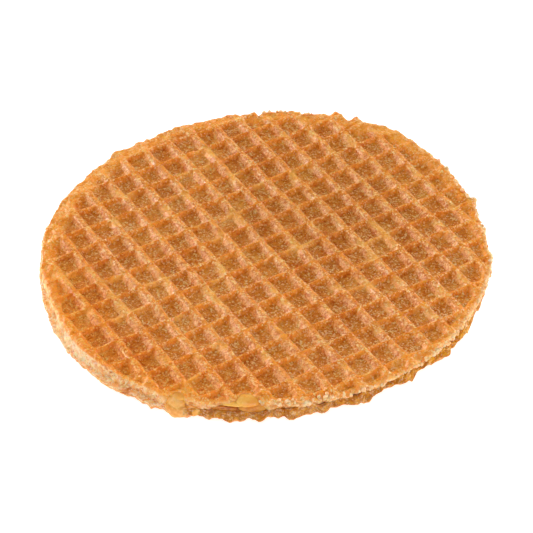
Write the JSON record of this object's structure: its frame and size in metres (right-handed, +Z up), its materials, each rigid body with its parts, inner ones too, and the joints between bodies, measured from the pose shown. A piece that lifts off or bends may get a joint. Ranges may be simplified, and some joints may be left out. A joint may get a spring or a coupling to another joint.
{
  "type": "stroopwafel",
  "caption": "Round syrup waffle biscuit: two thin crisp wafers pressed with a square grid and held together by a layer of caramel syrup.",
  "frame": {"origin": "centre of the round outline, on the plane the underside rests on", "axes": "+Z up through the biscuit, from the underside to the waffled top; +X and +Y along the two families of waffle ridges"},
  "size_m": [0.0849, 0.0849, 0.0046],
  "materials": {
    "wafer_top": "baked wafer crust, dry and slightly grainy",
    "syrup": "sticky glossy caramel syrup",
    "wafer_bottom": "baked wafer crust, dry and slightly grainy"
  },
  "bodies": {
    "root": {"wafer_top": "wafer_top", "syrup": "syrup", "wafer_bottom": "wafer_bottom"}
  },
  "joints": []
}
